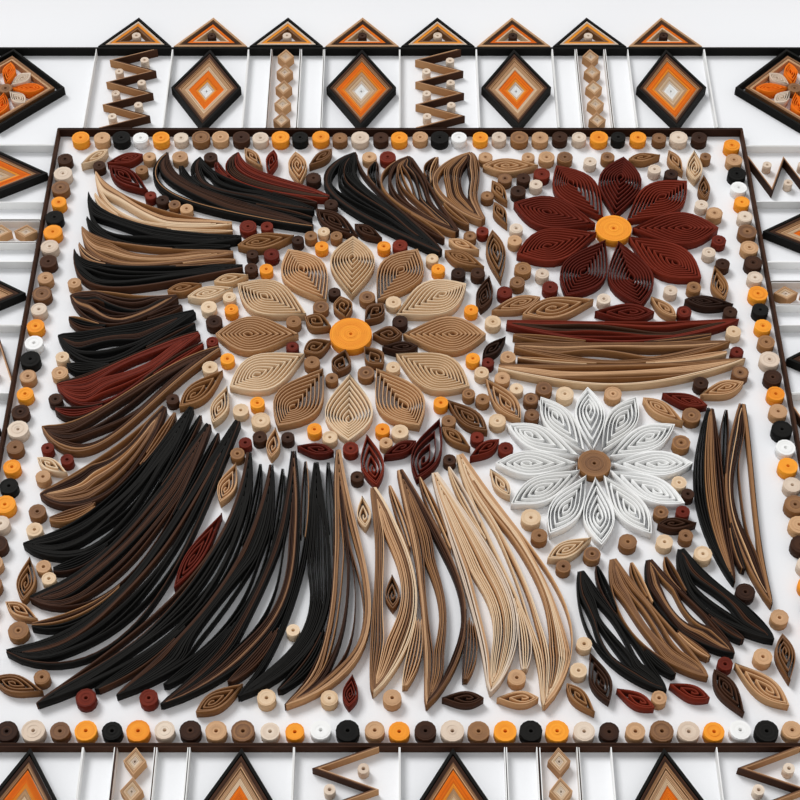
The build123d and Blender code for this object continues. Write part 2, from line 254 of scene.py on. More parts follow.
zinc, zinc_tree, zinc_shader = start_material("zinc plated steel")
zinc_place = zinc_tree.nodes.new("ShaderNodeTexCoord").outputs["Object"]
spangle = add_noise(zinc_tree, zinc_place, scale=260, detail=4, roughness=0.6)
spangled = add_range(zinc_tree, spangle, low=0.35, high=0.7)
zinc_colour = add_mix(zinc_tree, spangled, zinc_bright, zinc_dull)
coat(zinc_tree, zinc_shader, zinc_colour, add_range(zinc_tree, spangle, *spangle_roughness))
zinc_shader.inputs["Metallic"].default_value = 1.0
nodes["framing_points"].material_slots[0].material = zinc


# Two rings of straight strips bound the border band, dark brown inside and black outside. Each side
# is three strips of paper glued face to face and stood on edge.

# A strip may stand lower than it should by the drop, and those of a folded stack by less
strip_height = 0.0049
strip_drop = 0.0004
flush_drop = 0.00008
strip_thickness = 0.00034
strip_pitch = 0.0004
board_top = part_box("art_board")[1].z
line_strips = 3
upright_limit = 0.5

# Each paper: the darkest and the lightest of its strips, how far its upward cut edge is painted
# paler, partly its pale core and partly a painted highlight, and its gloss. The dark and the
# brightest papers are the mattest.
paper_kinds = {
    "black": ((0.004, 0.0038, 0.0034, 1), (0.0095, 0.0088, 0.0078, 1), 0.002, 0.07),
    "dark_brown": ((0.022, 0.0078, 0.0038, 1), (0.062, 0.024, 0.011, 1), 0.004, 0.1),
    "brown": ((0.13, 0.05, 0.015, 1), (0.3, 0.138, 0.046, 1), 0.03, 0.16),
    "tan": ((0.38, 0.19, 0.076, 1), (0.58, 0.33, 0.155, 1), 0.06, 0.2),
    "beige": ((0.57, 0.365, 0.19, 1), (0.74, 0.55, 0.36, 1), 0.08, 0.2),
    "cream": ((0.57, 0.43, 0.32, 1), (0.72, 0.59, 0.465, 1), 0.08, 0.2),
    "white": ((0.8, 0.795, 0.775, 1), (0.89, 0.89, 0.88, 1), 0.0, 0.2),
    "amber": ((0.77, 0.24, 0.008, 1), (0.9, 0.345, 0.02, 1), 0.01, 0.2),
    "orange": ((0.72, 0.13, 0.003, 1), (0.88, 0.205, 0.006, 1), 0.004, 0.12),
    "rust": ((0.085, 0.008, 0.0032, 1), (0.19, 0.023, 0.009, 1), 0.004, 0.1),
}
paper_names = list(paper_kinds)
felt_range = (0.3, 0.7)
felt_reach = 0.16
mottle_reach = 0.1
# The pale colour painted on the upward cut edges, partly the paper's core and partly a painted highlight
pale_core_and_highlight = (0.93, 0.9, 0.86, 1)
paper_roughness = (0.55, 0.72)

# Quilling paper is dyed through, with a faint felt of fibres, and its cut edge, the face that looks
# up, is painted a little paler: partly its core, partly a painted highlight
sheet, paper_in, paper_out = start_group(
    "quilling paper",
    [
        ("Dark Strip", "Color", (0, 0, 0, 1)),
        ("Light Strip", "Color", (1, 1, 1, 1)),
        ("Cut Edge Highlight", "Float", 0.1),
    ],
    [("Colour", "Color"), ("Roughness", "Float"), ("Height", "Float")],
)
paper_place = sheet.nodes.new("ShaderNodeTexCoord")
strip_shade = sheet.nodes.new("ShaderNodeAttribute")
strip_shade.attribute_name = "shade"
felt = add_noise(sheet, paper_place.outputs["Object"], scale=2600, detail=3, roughness=0.65)
mottle = add_noise(sheet, paper_place.outputs["Object"], scale=160, detail=2)
felt_tone = add_range(sheet, felt, *felt_range, -felt_reach, felt_reach)
mottle_tone = add_range(sheet, mottle, *felt_range, -mottle_reach, mottle_reach)
strip_tone = add_math(sheet, "ADD", strip_shade.outputs["Fac"], felt_tone)
strip_tone = add_math(sheet, "ADD", strip_tone, mottle_tone)
tone_share = add_range(sheet, strip_tone, 0, 1)
dyed = add_mix(sheet, tone_share, paper_in.outputs["Dark Strip"], paper_in.outputs["Light Strip"])
# Faces that point up are painted paler: partly the pale core of the cut edge, partly a painted highlight
facing = sheet.nodes.new("ShaderNodeSeparateXYZ")
sheet.links.new(paper_place.outputs["Normal"], facing.inputs["Vector"])
upward_face_mask = add_range(sheet, facing.outputs["Z"], low=0.6, high=0.9)
edge_highlight_share = add_math(sheet, "MULTIPLY", upward_face_mask, paper_in.outputs["Cut Edge Highlight"])
highlighted_edge_colour = add_mix(sheet, edge_highlight_share, dyed, pale_core_and_highlight)
felt_roughness = add_range(sheet, felt, *felt_range, *paper_roughness)
sheet.links.new(highlighted_edge_colour, paper_out.inputs["Colour"])
sheet.links.new(felt_roughness, paper_out.inputs["Roughness"])
sheet.links.new(felt, paper_out.inputs["Height"])

papers = []
for paper_name, (dark_strip, light_strip, cut_edge_highlight, gloss) in paper_kinds.items():
    paper, paper_tree, paper_shader = start_material(f"{paper_name} paper")
    values = {"Dark Strip": dark_strip, "Light Strip": light_strip, "Cut Edge Highlight": cut_edge_highlight}
    surface = place_group(paper_tree, sheet, values)
    coat(paper_tree, paper_shader, surface.outputs["Colour"], surface.outputs["Roughness"])
    paper_shader.inputs["Specular IOR Level"].default_value = gloss
    add_bump(paper_tree, surface.outputs["Height"], strength=0.2, distance=0.00005, shader=paper_shader)
    papers.append(paper)


def start_strips():
    """An empty mesh for strips, which keeps each strip's paper, shade and drop on its points."""
    mesh = bmesh.new()
    mesh.verts.layers.int.new("paper")
    mesh.verts.layers.float.new("shade")
    mesh.verts.layers.float.new("drop")
    return mesh


def lay_strip(mesh, path, paper_name, dice, closed=False, sunk=0.0, uneven=strip_drop, shade=None):
    """Draw the line of one strip on the board, sunk by a set amount and a little by hand."""
    layers = mesh.verts.layers
    shade = dice.random() if shade is None else shade
    drop = sunk + dice.uniform(0, uneven)
    row = []
    for point in path:
        vert = mesh.verts.new((point[0], point[1], board_top))
        vert[layers.int["paper"]] = paper_names.index(paper_name)
        vert[layers.float["shade"]] = shade
        vert[layers.float["drop"]] = drop
        row.append(vert)
    following = row[1:] + row[:1] if closed else row[1:]
    for first, second in zip(row, following):
        mesh.edges.new((first, second))


def stand_strips(mesh, name, replaced, curved=False, thickness=strip_thickness):
    """Raise the lines into strips with their thickness, and hand over the finished piece."""
    drop_layer = mesh.verts.layers.float["drop"]
    raised = bmesh.ops.extrude_edge_only(mesh, edges=mesh.edges[:])["geom"]
    for element in raised:
        if isinstance(element, bmesh.types.BMVert):
            element.co.z = board_top + strip_height - element[drop_layer]
    bmesh.ops.recalc_face_normals(mesh, faces=mesh.faces[:])
    bmesh.ops.solidify(mesh, geom=mesh.faces[:], thickness=thickness)
    bmesh.ops.recalc_face_normals(mesh, faces=mesh.faces[:])
    paper_layer = mesh.verts.layers.int["paper"]
    used = sorted({vert[paper_layer] for vert in mesh.verts})
    for face in mesh.faces:
        face.material_index = used.index(face.verts[0][paper_layer])
        face.smooth = curved and abs(face.normal.z) < upright_limit
    data = bpy.data.meshes.new(name)
    mesh.to_mesh(data)
    mesh.free()
    for number in used:
        data.materials.append(papers[number])
    piece = bpy.data.objects.new(name, data)
    scene.collection.objects.link(piece)
    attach(piece, "root")
    if replaced:
        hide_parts(*replaced)


def side_spot(quarter, out, along):
    """A point given by its distance out and along one of the four sides."""
    turn = radians(90 * quarter)
    return (out * cos(turn) - along * sin(turn), out * sin(turn) + along * cos(turn))


strip_dice = Random(11)
inner_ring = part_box("inner_lines")[1].x
outer_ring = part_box("outer_lines")[1].x
for ring_name, ring_at, ring_paper in (("inner", inner_ring, "dark_brown"), ("outer", outer_ring, "black")):
    ring = start_strips()
    for quarter in range(4):
        for layer in range(line_strips):
            out = ring_at - strip_pitch * (layer + 0.5)
            ends = [side_spot(quarter, out, along) for along in (-out, out)]
            lay_strip(ring, ends, ring_paper, strip_dice)
    stand_strips(ring, f"{ring_name}_line_strips", [f"{ring_name}_lines"])


# Stepped lozenges fill every second panel of the band. Each is one strip after another folded at
# four corners and glued inside the last, from a black rim inwards to a white heart.

panels_per_side = 8
half_field = 0.158
panel_gap = 0.0008
lozenge_room = 0.0035
panel_pitch = 2 * half_field / panels_per_side
panel_middle = (inner_ring + outer_ring) / 2 - line_strips * strip_pitch / 2
panel_length = outer_ring - inner_ring - line_strips * strip_pitch - panel_gap
panel_centres = [panel_pitch * (count - (panels_per_side - 1) / 2) for count in range(panels_per_side)]
lozenge_width = panel_pitch - lozenge_room
rim_colours = ["black"] * 3
step_colours = ["dark_brown"] * 3 + ["brown"] * 2 + ["tan"]
core_colourings = (
    ["orange"] * 5 + ["amber"] * 2 + ["tan"] * 3 + ["beige"] * 3 + ["cream"] * 2 + ["white"] * 5,
    ["tan"] * 3 + ["beige"] * 3 + ["orange"] * 6 + ["amber"] * 2 + ["cream"] * 2 + ["white"] * 4,
)
colour_step = 0.0003
rim_inset = 0.0002
step_inset = 0.0018
core_inset = 0.0046
core_pitch = 0.00052
core_sunk = 4 * colour_step


def lozenge_corners(length, width, inset):
    """The corners of a lozenge whose edges stand in by the same amount all round."""
    slope = hypot(length / 2, width / 2)
    tall = length / 2 - inset * slope / (width / 2)
    wide = width / 2 - inset * slope / (length / 2)
    return [(tall, 0), (0, wide), (-tall, 0), (0, -wide)]


def on_side(quarter, out, along, corners):
    """A shape's corners carried to a place on one of the four sides."""
    return [side_spot(quarter, out + corner[0], along + corner[1]) for corner in corners]


def nest_strips(mesh, shape, spot, colours, inset, pitch, dice, sunk=0.0):
    """Closed strips, one inside another from an inset inwards, each colour a step lower."""
    before = colours[0]
    for colour in colours:
        sunk += colour_step * (colour != before)
        before = colour
        lay_strip(mesh, on_side(*spot, shape(inset)), colour, dice, True, sunk, flush_drop)
        inset += pitch


panel_lozenge = partial(lozenge_corners, panel_length, lozenge_width)
lozenge_rims = start_strips()
lozenge_steps = start_strips()
lozenge_cores = start_strips()
for quarter in range(4):
    for panel, along in enumerate(panel_centres[0::2]):
        spot = (quarter, panel_middle, along)
        core_colours = core_colourings[panel % 2]
        for mesh, colours, inset, pitch, sunk in (
            (lozenge_rims, rim_colours, rim_inset, strip_pitch, 0),
            (lozenge_steps, step_colours, step_inset, strip_pitch, colour_step),
            (lozenge_cores, core_colours, core_inset, core_pitch, core_sunk),
        ):
            nest_strips(mesh, panel_lozenge, spot, colours, inset, pitch, strip_dice, sunk)
stand_strips(lozenge_rims, "lozenge_rims", ["black_lozenges"])
stand_strips(lozenge_steps, "lozenge_steps", ["dark_brown_lozenges"])
stand_strips(lozenge_cores, "lozenge_cores", ["orange_lozenge_cores"])


# Ladders stand in every fourth panel: small diamonds folded from tan, beige and cream strips,
# stacked in a row between two bundles of white and dark brown strips.

ladder_width = 0.015
ladder_steps = 5
ladder_pitch = (panel_length + panel_gap) / ladder_steps
diamond_width = 0.009
diamond_gap = 0.0004
diamond_pitch = 0.00052
diamond_colours = ["tan", "tan", "beige", "beige", "cream", "cream"]
ladder_side_colours = ("white", "dark_brown", "white")


def across_band(quarter, along):
    """The two ends of a strip across the band at a place along one of the four sides."""
    return [side_spot(quarter, panel_middle + end * panel_length / 2, along) for end in (-1, 1)]


diamond_shape = partial(lozenge_corners, ladder_pitch - diamond_gap, diamond_width)
diamonds = start_strips()
ladder_sides = start_strips()
for quarter in range(4):
    for along in panel_centres[1::4]:
        for step in range(ladder_steps):
            out = panel_middle + (step - (ladder_steps - 1) / 2) * ladder_pitch
            spot = (quarter, out, along)
            nest_strips(diamonds, diamond_shape, spot, diamond_colours, rim_inset, diamond_pitch, strip_dice)
        for side in (-1, 1):
            for layer, colour in enumerate(ladder_side_colours):
                across = along + side * (ladder_width / 2 + (layer - 1) * strip_pitch)
                lay_strip(ladder_sides, across_band(quarter, across), colour, strip_dice)
stand_strips(diamonds, "ladder_diamond_folds", ["ladder_diamonds"])
stand_strips(ladder_sides, "ladder_side_strips", ["ladder_sides"])


# Zigzags stand in the panels between: three strips folded together to and fro, brown between dark
# brown and tan, with a small cream coil held in each fold.

zigzag_width = 0.022
zigzag_folds = 7
zigzag_colours = ("dark_brown", "brown", "tan")
fold_squeeze = 0.85
fold_pitch = panel_length / zigzag_folds
fold_layer = strip_pitch * fold_squeeze * hypot(fold_pitch, zigzag_width) / fold_pitch
fold_coil_share = 0.28
fold_coil_radius = 0.0022
fold_coil_points = 10

# A wound coil's rings are drawn thicker than its strip, a few of the real turns in each
coil_thickness = 0.00072
coil_pitch = 0.0008
coil_hole = 0.0008
coil_shades = (0.25, 0.75)
ring_drop = 0.00022
ring_shade = 0.34


def lay_coil(mesh, x, y, radius, points, paper_name, dice):
    """A tight coil's rings, nearly flush with each other around its pinhole."""
    innermost = coil_hole + coil_thickness
    gaps = ceil((radius - innermost) / coil_pitch)
    shade = dice.uniform(*coil_shades)
    sunk = dice.uniform(0, strip_drop)
    for ring in range(gaps + 1):
        out = innermost + (radius - innermost) * ring / gaps
        angles = [2 * pi * number / points for number in range(points)]
        line = [(x + out * cos(angle), y + out * sin(angle)) for angle in angles]
        ring_tone = shade + dice.uniform(-ring_shade, ring_shade)
        lay_strip(mesh, line, paper_name, dice, True, sunk, ring_drop, ring_tone)


zigzags = start_strips()
fold_coils = start_strips()
for quarter in range(4):
    for along in panel_centres[3::4]:
        outs = [panel_middle - panel_length / 2 + fold * fold_pitch for fold in range(zigzag_folds + 1)]
        for layer, colour in enumerate(zigzag_colours):
            path = []
            for fold, out in enumerate(outs):
                swing = zigzag_width / 2 * (-1) ** fold + (layer - 1) * fold_layer
                path.append(side_spot(quarter, out, along + swing))
            lay_strip(zigzags, path, colour, strip_dice)
        for fold in range(1, zigzag_folds):
            across = along - zigzag_width * fold_coil_share * (-1) ** fold
            x, y = side_spot(quarter, outs[fold], across)
            lay_coil(fold_coils, x, y, fold_coil_radius, fold_coil_points, "cream", strip_dice)
stand_strips(zigzags, "zigzag_strips", ["zigzags"])
stand_strips(fold_coils, "zigzag_coils", [], True, coil_thickness)


# White strips stand in pairs between the panels, and reach from one ring to the other.

divider_strips = 2
dividers = start_strips()
for quarter in range(4):
    for count in range(panels_per_side + 1):
        for layer in range(divider_strips):
            across = panel_pitch * (count - panels_per_side / 2) + (layer - 0.5) * strip_pitch
            lay_strip(dividers, across_band(quarter, across), "white", strip_dice)
stand_strips(dividers, "panel_dividers", [])


# A row of teeth stands outside the band, each a triangle of folded strips with more triangles
# inside it and a tight coil in the middle. Black rims and tan rims take turns.

tooth_gap = 0.0004
tooth_height = 0.024
tooth_base = outer_ring + tooth_gap
tooth_width = panel_pitch - tooth_gap
tooth_inset = 0.0002
tooth_step_inset = 0.002
tooth_pitch = 0.00044
tooth_coil_radius = 0.0023
small_coil_points = 12
# The middle of the circle that fits in a tooth, where its coil stands
tooth_middle = tooth_height * tooth_width / (tooth_width + 2 * hypot(tooth_height, tooth_width / 2))
tooth_kinds = (
    ("tan", 0, ["tan"] * 3, ["dark_brown"] * 3 + ["orange"] * 3 + ["beige"] * 2, "dark_brown"),
    ("black", 1, ["black"] * 3, ["cream"] * 2 + ["amber"] * 3 + ["brown"] * 3, "cream"),
)


def tooth_corners(inset):
    """The corners of a tooth whose edges stand in by the same amount all round."""
    slope = hypot(tooth_height, tooth_width / 2)
    point = tooth_height - inset * slope / (tooth_width / 2)
    wide = tooth_width / 2 - inset * (slope + tooth_width / 2) / tooth_height
    return [(inset, wide), (point, 0), (inset, -wide)]


for tooth_paper, first, rim_strips, inner_strips, coil_paper in tooth_kinds:
    teeth = start_strips()
    tooth_coils = start_strips()
    for quarter in range(4):
        for along in panel_centres[first::2]:
            spot = (quarter, tooth_base, along)
            for colours, inset, pitch, sunk in (
                (rim_strips, tooth_inset, strip_pitch, 0),
                (inner_strips, tooth_step_inset, tooth_pitch, colour_step),
            ):
                nest_strips(teeth, tooth_corners, spot, colours, inset, pitch, strip_dice, sunk)
            x, y = side_spot(quarter, tooth_base + tooth_middle, along)
            lay_coil(tooth_coils, x, y, tooth_coil_radius, small_coil_points, coil_paper, strip_dice)
    stand_strips(teeth, f"{tooth_paper}_tooth_strips", [f"{tooth_paper}_teeth"])
    stand_strips(tooth_coils, f"{tooth_paper}_tooth_coils", [], True, coil_thickness)


# A square block stands on its point in each corner of the band: a black rim, then brown and tan
# strips, and inside them a rosette of pinched coils around a tight one.

block_width = panel_length + panel_gap
block_step_inset = 0.0038
block_colours = ["brown"] * 3 + ["tan"] * 3
rosette_petals = 8
rosette_colours = ("orange", "cream")
rosette_lengths = (0.016, 0.0125)
rosette_start = 0.0036
rosette_coil_radius = 0.0034
coil_points = 14
lean_least = 0.7
lean_gain = 0.3
# The width of a rosette's coil, its turns, the points to a turn, and its heart's place and size
rosette_coil = (0.0068, 4, 16, 0.6, 0.2)


def drop_coil(length, width, turns, points_per_turn, focus_share, end_scale):
    """The line of a loose coil, pinched at both ends, wound in towards a point on its axis."""
    focus = length * focus_share
    count = turns * points_per_turn
    line = []
    for number in range(count + 1):
        round_share = (number % points_per_turn) / points_per_turn
        along = 1 - abs(1 - 2 * round_share)
        lean = lean_least + lean_gain * along
        half = width / 2 * sin(pi * along * lean) * (1 if round_share < 0.5 else -1)
        wound = max(0, number - points_per_turn) / (count - points_per_turn)
        scale = 1 - (1 - end_scale) * wound
        line.append((focus + (along * length - focus) * scale, half * scale))
    return line


def carried(line, x, y, turn):
    """A line turned and carried to its place."""
    ahead = cos(turn)
    aside = sin(turn)
    return [(x + p[0] * ahead - p[1] * aside, y + p[0] * aside + p[1] * ahead) for p in line]


block_lozenge = partial(lozenge_corners, block_width, block_width)
block_rims = start_strips()
block_steps = start_strips()
rosettes = start_strips()
rosette_coils = start_strips()
for quarter in range(4):
    spot = (quarter, panel_middle, panel_middle)
    for mesh, colours, inset, sunk in (
        (block_rims, rim_colours, rim_inset, 0),
        (block_steps, block_colours, block_step_inset, colour_step),
    ):
        nest_strips(mesh, block_lozenge, spot, colours, inset, strip_pitch, strip_dice, sunk)
    middle_x, middle_y = side_spot(*spot)
    for petal in range(rosette_petals):
        turn = radians(360 / rosette_petals * petal)
        line = drop_coil(rosette_lengths[petal % 2], *rosette_coil)
        start_x = middle_x + rosette_start * cos(turn)
        start_y = middle_y + rosette_start * sin(turn)
        lay_strip(rosettes, carried(line, start_x, start_y, turn), rosette_colours[petal % 2], strip_dice)
    lay_coil(rosette_coils, middle_x, middle_y, rosette_coil_radius, coil_points, "brown", strip_dice)
stand_strips(block_rims, "corner_block_rims", ["corner_outlines"])
stand_strips(block_steps, "corner_block_steps", ["corner_inlays"])
stand_strips(rosettes, "corner_rosettes", [], True)
stand_strips(rosette_coils, "corner_rosette_coils", [], True, coil_thickness)


# A row of tight coils runs round the field. Each is a strip wound on a needle and glued shut,
# so that it shows its rings and a pinhole, and they are set down by hand, not quite in line.

coil_row = (half_field + inner_ring - line_strips * strip_pitch / 2) / 2
coils_per_panel = 4
row_pitch = panel_pitch / coils_per_panel
row_shift = 0.0004
coil_radius = 0.0045
coil_sizes = (0.8, 0.98)

# The piece that each coil of a repeat belongs to, and its own paper
coil_colours = (
    ("cream", "cream"), ("brown", "brown"), ("amber", "amber"), ("black", "black"),
    ("amber", "amber"), ("cream", "cream"), ("black", "dark_brown"), ("cream", "tan"),
    ("brown", "brown"), ("cream", "cream"), ("amber", "amber"), ("cream", "white"),
    ("black", "black"), ("brown", "tan"), ("amber", "amber"), ("brown", "dark_brown"),
)

coil_dice = Random(5)
coil_rows = {name: start_strips() for name in ("cream", "amber", "brown", "black")}
for quarter in range(4):
    for place in range(-1, coils_per_panel * panels_per_side - 1):
        row_name, colour = coil_colours[place % len(coil_colours)]
        main_coil = place % coils_per_panel == 0
        shift = 0 if main_coil else row_shift
        radius = coil_radius if main_coil else coil_radius * coil_dice.uniform(*coil_sizes)
        along = panel_centres[0] + place * row_pitch + coil_dice.uniform(-shift, shift)
        x, y = side_spot(quarter, coil_row + coil_dice.uniform(-shift, shift), along)
        lay_coil(coil_rows[row_name], x, y, radius, coil_points, colour, coil_dice)
for row_name, row in coil_rows.items():
    stand_strips(row, f"{row_name}_coil_row", [f"{row_name}_beads"], True, coil_thickness)


# Swept locks fill the field. Each is a bundle of long strips glued at the root and at the tip, and
# pushed sideways between, so that they part into curved slits.

# Each group of sheaves, and for each sheaf its root's x, y and width and its left and right tips' x
# and y, in shares of half the field, the way it points at its root and at its tips, in degrees, and
# its locks from left to right
sheaf_groups = {
    "right": [
        ((0.29, 0.18, 0.25, 0.97, 0.31, 0.97, 0.09), (-10, 15), "rust brown tan"),
        ((0.9, -0.03, 0.17, 0.975, -0.7, 0.82, -0.63), (-100, -75), "brown dark_brown"),
    ],
    "lower_right": [
        ((0.59, -0.54, 0.36, 0.97, -0.76, 0.62, -0.97), (-80, -40), "black dark_brown brown black"),
    ],
    "bottom": [
        ((0.04, -0.25, 0.34, 0.42, -0.97, -0.15, -0.97), (-72, -112), "tan beige brown tan"),
    ],
    "lower_left": [
        ((-0.285, -0.2, 0.3, -0.2, -0.97, -0.95, -0.965), (-88, -150), "brown black dark_brown black black"),
    ],
    "left": [
        ((-0.54, -0.06, 0.28, -0.97, -0.9, -0.975, -0.26), (-110, -190), "black dark_brown black brown"),
        ((-0.57, 0.27, 0.32, -0.975, -0.2, -0.97, 0.46), (-150, 140), "dark_brown rust black dark_brown"),
    ],
    "top": [
        ((-0.47, 0.57, 0.24, -0.97, 0.49, -0.94, 0.97), (-175, 95), "black brown black tan"),
        ((-0.24, 0.71, 0.2, -0.78, 0.97, -0.45, 0.97), (160, 70), "dark_brown black rust"),
        ((0.185, 0.61, 0.28, -0.23, 0.97, 0.31, 0.97), (135, 50), "black dark_brown brown"),
    ],
}

# The papers that a lock of each colour is put together from, the commonest repeated
lock_mixes = {
    "black": ("black", "black", "black", "black", "dark_brown"),
    "dark_brown": ("dark_brown", "dark_brown", "brown", "black"),
    "brown": ("brown", "brown", "tan", "brown", "dark_brown"),
    "tan": ("tan", "beige", "tan", "brown"),
    "beige": ("beige", "beige", "cream", "tan"),
    "rust": ("rust", "rust", "rust", "dark_brown"),
}
paper_runs = (1, 2, 3, 4)
root_pull_share = 0.42
tip_pull_share = 0.36
leaf_end_share = 0.025
leaf_fill_share = 0.95
leaf_root_share = 0.03
leaf_late_share = 0.04
leaf_short_share = 0.05
leaf_swell = 0.72
strip_spacing = 0.001
least_strips = 7
lock_stations = 26
fine_stations = 400

# A gap takes its least room anywhere, and at a slit up to nine times as much
gap_rooms = (0.35, 1.0)
slit_chance = 0.22
slit_rooms = (3, 9)
slit_middles = (0.36, 0.66)
slit_half_lengths = (0.22, 0.34)
slit_taper = 1.5

# How many strips each small bundle has, and where its open end and its closed end may lie
stray_bundles = ((3, (0.02, 0.06), (0.28, 0.34)), (5, (0.86, 0.94), (0.6, 0.66)))
stray_stations = 14
stray_spread = 0.46
stray_reach = 0.04


def curve_point(curve, share):
    """A point of a curve given by its two ends and their two handles."""
    start, start_handle, end_handle, end = curve
    rest = 1 - share
    near = rest**3 * start + 3 * rest**2 * share * start_handle
    return near + 3 * rest * share**2 * end_handle + share**3 * end


def sheaf_curves(shares, angles):
    """The left and right curves that bound a sheaf, from root to tip."""
    root_x, root_y, width, *tips = (half_field * share for share in shares)
    root_way, tip_way = (Vector((cos(radians(angle)), sin(radians(angle)))) for angle in angles)
    across = root_way.orthogonal()
    curves = []
    for tip, side in ((tips[:2], 1), (tips[2:], -1)):
        root = Vector((root_x, root_y)) + across * side * width / 2
        end = Vector(tip)
        length = (end - root).length
        root_handle = root + root_way * length * root_pull_share
        tip_handle = end - tip_way * length * tip_pull_share
        curves.append((root, root_handle, tip_handle, end))
    return curves


def lock_width(along):
    """A lock's width as a share of its room, at a share of its length."""
    swell = max(0.0, sin(pi * (leaf_root_share + (1 - leaf_root_share) * along))) ** leaf_swell
    return leaf_end_share + (leaf_fill_share - leaf_end_share) * swell


def lock_edges(curves, count, index, along):
    """The two edges of a lock, at a share of its length."""
    start = leaf_late_share * (index % 2)
    end = 1 - leaf_short_share * (index % 2)
    left, right = (curve_point(curve, start + (end - start) * along) for curve in curves)
    half = lock_width(along) / 2
    return [left + (right - left) * (index + 0.5 + side * half) / count for side in (-1, 1)]


def draw_gaps(strips, dice):
    """The gap after each strip but the last: how wide it is, and the place and size of its slit."""
    gaps = []
    for _ in range(strips - 1):
        slit = dice.uniform(*slit_rooms) * (dice.random() < slit_chance)
        least = dice.uniform(*gap_rooms)
        gaps.append((least, slit, dice.uniform(*slit_middles), dice.uniform(*slit_half_lengths)))
    return gaps


def gap_room(gap, along):
    """How much room a gap takes at a share of the lock's length."""
    least, slit, middle, half_length = gap
    away = min(1, abs(along - middle) / half_length)
    return least + slit * cos(pi / 2 * away) ** slit_taper


def mix_papers(mix, count, dice):
    """A row of papers in short runs of one colour."""
    row = []
    while len(row) < count:
        row += [dice.choice(mix)] * dice.choice(paper_runs)
    return row[:count]


def lay_lock(mesh, curves, count, index, colour, dice):
    """The strips of one lock. The inner ones start and stop where the outer ones leave them room."""
    fine = [number / fine_stations for number in range(fine_stations + 1)]
    widths = []
    for along in fine:
        left, right = lock_edges(curves, count, index, along)
        widths.append((right - left).length)
    strips = max(least_strips, round(max(widths) / strip_spacing))
    gaps = draw_gaps(strips, dice)
    for strip, paper_name in enumerate(mix_papers(lock_mixes[colour], strips, dice)):
        before = strip * strip_pitch
        after = (strips - 1 - strip) * strip_pitch
        taken = 2 * min(before, after) + strip_pitch / 2
        wide = [along for along, width in zip(fine, widths) if width >= taken]
        first, last = wide[0], wide[-1]
        path = []
        for number in range(lock_stations + 1):
            along = first + (last - first) * number / lock_stations
            left, right = lock_edges(curves, count, index, along)
            width = (right - left).length
            rooms = [gap_room(gap, along) for gap in gaps]
            place = width * sum(rooms[:strip]) / sum(rooms)
            place = max(place, before) if before < after else min(place, width - after)
            path.append(left + (right - left) * place / width)
        lay_strip(mesh, path, paper_name, dice)
        field_lines.append(path)


def lay_strays(mesh, curves, count, index, colour, dice):
    """Small bundles between two locks, pinched to a point where the wedge between them is open."""
    bundles = [(kind[0], dice.uniform(*kind[1]), dice.uniform(*kind[2])) for kind in stray_bundles]
    for strips, open_end, closed_end in bundles:
        for rank in range(strips):
            side = 2 * rank / (strips - 1) - 1
            pinched = strip_pitch * (rank - (strips - 1) / 2)
            reach = closed_end + dice.uniform(-stray_reach, stray_reach)
            path = []
            for station in range(stray_stations + 1):
                share = station / stray_stations
                along = open_end + (reach - open_end) * share
                left, right = (curve_point(curve, along) for curve in curves)
                spread = side * stray_spread * (1 - lock_width(along)) * sin(pi / 2 * share) / count
                place = index / count + spread + pinched * (1 - share) / (right - left).length
                path.append(left + (right - left) * place)
            lay_strip(mesh, path, dice.choice(lock_mixes[colour]), dice)
            field_lines.append(path)


# Every line laid in the field is kept, for the coils that fill what is left of it
field_lines = []
lock_dice = Random(23)
for group, sheaves in sheaf_groups.items():
    for colour in sorted({colour for sheaf in sheaves for colour in sheaf[2].split()}):
        locks = start_strips()
        for shares, angles, lock_names in sheaves:
            curves = sheaf_curves(shares, angles)
            lock_colours = lock_names.split()
            count = len(lock_colours)
            for index, lock_colour in enumerate(lock_colours):
                if lock_colour == colour:
                    lay_lock(locks, curves, count, index, colour, lock_dice)
                    if index:
                        lay_strays(locks, curves, count, index, colour, lock_dice)
        stand_strips(locks, f"{group}_{colour}_locks", [f"{group}_{colour}_leaves"], True)


# The flowers are rings of loose coils, each let go to spring open and then pinched at both ends,
# set around a tight coil. Small tight coils stand between the petals' tips of the larger two.

loose_points = 22
focus_shares = (0.56, 0.7)
heart_scale = 0.1
centre_points = 26
disc_rim_points = 9
small_bead_radius = 0.0032

# Node, flower, inner end, outer end, width, petals all round, first petal, step, turns and paper
petal_rings = (
    ("large_flower_inner_petals", "large", 0.0099, 0.0231, 0.0088, 7, 0, 1, 3, "brown"),
    ("large_flower_tan_petals", "large", 0.0235, 0.0607, 0.0208, 12, 0, 2, 8, "tan"),
    ("large_flower_beige_petals", "large", 0.0235, 0.0607, 0.0208, 12, 1, 2, 8, "beige"),
    ("rust_flower_petals", "rust", 0.0089, 0.0496, 0.0208, 9, 0, 1, 8, "rust"),
    ("white_flower_petals", "white", 0.0074, 0.0417, 0.0129, 12, 0, 1, 5, "white"),
)
flower_centres = (("large", "amber"), ("rust", "amber"), ("white", "brown"))

# Flower, distance from its middle, how many, and their paper
flower_beads = (("large", 0.0564, 12, "amber"), ("rust", 0.0461, 9, "cream"))


def flower_middle(flower):
    """The middle of a flower and the radius of the coil there."""
    low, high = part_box(f"{flower}_flower_centre")
    return (low.x + high.x) / 2, (low.y + high.y) / 2, (high.x - low.x) / 2


def lay_drop(mesh, x, y, turn, start, length, width, turns, paper_name, dice):
    """A pinched coil that points away from a place, its rings gathered on one side."""
    line = drop_coil(length, width, turns, loose_points, dice.uniform(*focus_shares), heart_scale)
    line = carried(line, x + start * cos(turn), y + start * sin(turn), turn)
    lay_strip(mesh, line, paper_name, dice)
    field_lines.append([Vector(point) for point in line])


